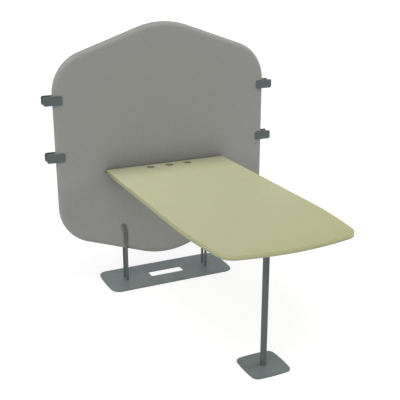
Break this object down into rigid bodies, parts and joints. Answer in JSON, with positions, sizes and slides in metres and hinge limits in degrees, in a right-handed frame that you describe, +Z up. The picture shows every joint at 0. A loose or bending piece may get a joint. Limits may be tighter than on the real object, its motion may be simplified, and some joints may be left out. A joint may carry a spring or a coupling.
{
  "type": "desk with privacy screen",
  "caption": "Worktop carried at its rear by a tall padded privacy screen on a floor plate and at its free end by a round leg; linking clips slide off the screen's edges.",
  "frame": {"origin": "on the floor, under the middle of the whole object", "axes": "X runs along the screen, +Y points from the free end of the worktop to the screen, +Z is up"},
  "size_m": [1.4228, 1.661, 1.5472],
  "materials": {
    "screen_fabric": "woven upholstery, matt",
    "screen_foam": "soft foam",
    "screen_board": "plywood",
    "worktop_surface": "matt linoleum",
    "worktop_edge": "matt edge band",
    "worktop_board": "particle board",
    "coated_steel": "fine textured powder coat",
    "clip_steel": "fine textured powder coat",
    "fasteners": "zinc plated",
    "floor_pads": "matt"
  },
  "bodies": {
    "desk": {"screen_front_cover": "screen_fabric", "screen_rear_cover": "screen_fabric", "screen_front_foam": "screen_foam", "screen_rear_foam": "screen_foam", "screen_core": "screen_board", "worktop_top_laminate": "worktop_surface", "worktop_bottom_laminate": "worktop_surface", "worktop_edge_band": "worktop_edge", "worktop_core": "worktop_board", "floor_plate": "coated_steel", "foot_plate": "coated_steel", "leg_tube": "coated_steel", "leg_flange": "coated_steel", "left_worktop_bracket": "coated_steel", "right_worktop_bracket": "coated_steel", "left_front_rod": "coated_steel", "left_rear_rod": "coated_steel", "right_front_rod": "coated_steel", "right_rear_rod": "coated_steel", "screen_rod_sleeves": "fasteners", "screen_bracket_nuts": "fasteners", "rod_screws": "fasteners", "worktop_bracket_screws": "fasteners", "leg_flange_screws": "fasteners", "bracket_bolts": "fasteners", "bracket_spacers": "fasteners", "leg_bolts": "fasteners", "leg_plugs": "fasteners", "floor_plate_pads": "floor_pads", "foot_plate_pads": "floor_pads"},
    "upper_left_clip": {"upper_left_clip_web": "clip_steel", "upper_left_clip_front_plate": "clip_steel", "upper_left_clip_rear_plate": "clip_steel", "upper_left_clip_screws": "fasteners"},
    "upper_right_clip": {"upper_right_clip_web": "clip_steel", "upper_right_clip_front_plate": "clip_steel", "upper_right_clip_rear_plate": "clip_steel", "upper_right_clip_screws": "fasteners"},
    "lower_left_clip": {"lower_left_clip_web": "clip_steel", "lower_left_clip_front_plate": "clip_steel", "lower_left_clip_rear_plate": "clip_steel", "lower_left_clip_screws": "fasteners"},
    "lower_right_clip": {"lower_right_clip_web": "clip_steel", "lower_right_clip_front_plate": "clip_steel", "lower_right_clip_rear_plate": "clip_steel", "lower_right_clip_screws": "fasteners"}
  },
  "joints": [
    {"name": "upper_left_clip_slide", "type": "slide", "parent": "desk", "child": "upper_left_clip", "axis": [-1, 0, 0], "range_m": [0, 0.055]},
    {"name": "upper_right_clip_slide", "type": "slide", "parent": "desk", "child": "upper_right_clip", "axis": [1, 0, 0], "range_m": [0, 0.055]},
    {"name": "lower_left_clip_slide", "type": "slide", "parent": "desk", "child": "lower_left_clip", "axis": [-1, 0, 0], "range_m": [0, 0.055]},
    {"name": "lower_right_clip_slide", "type": "slide", "parent": "desk", "child": "lower_right_clip", "axis": [1, 0, 0], "range_m": [0, 0.055]}
  ]
}
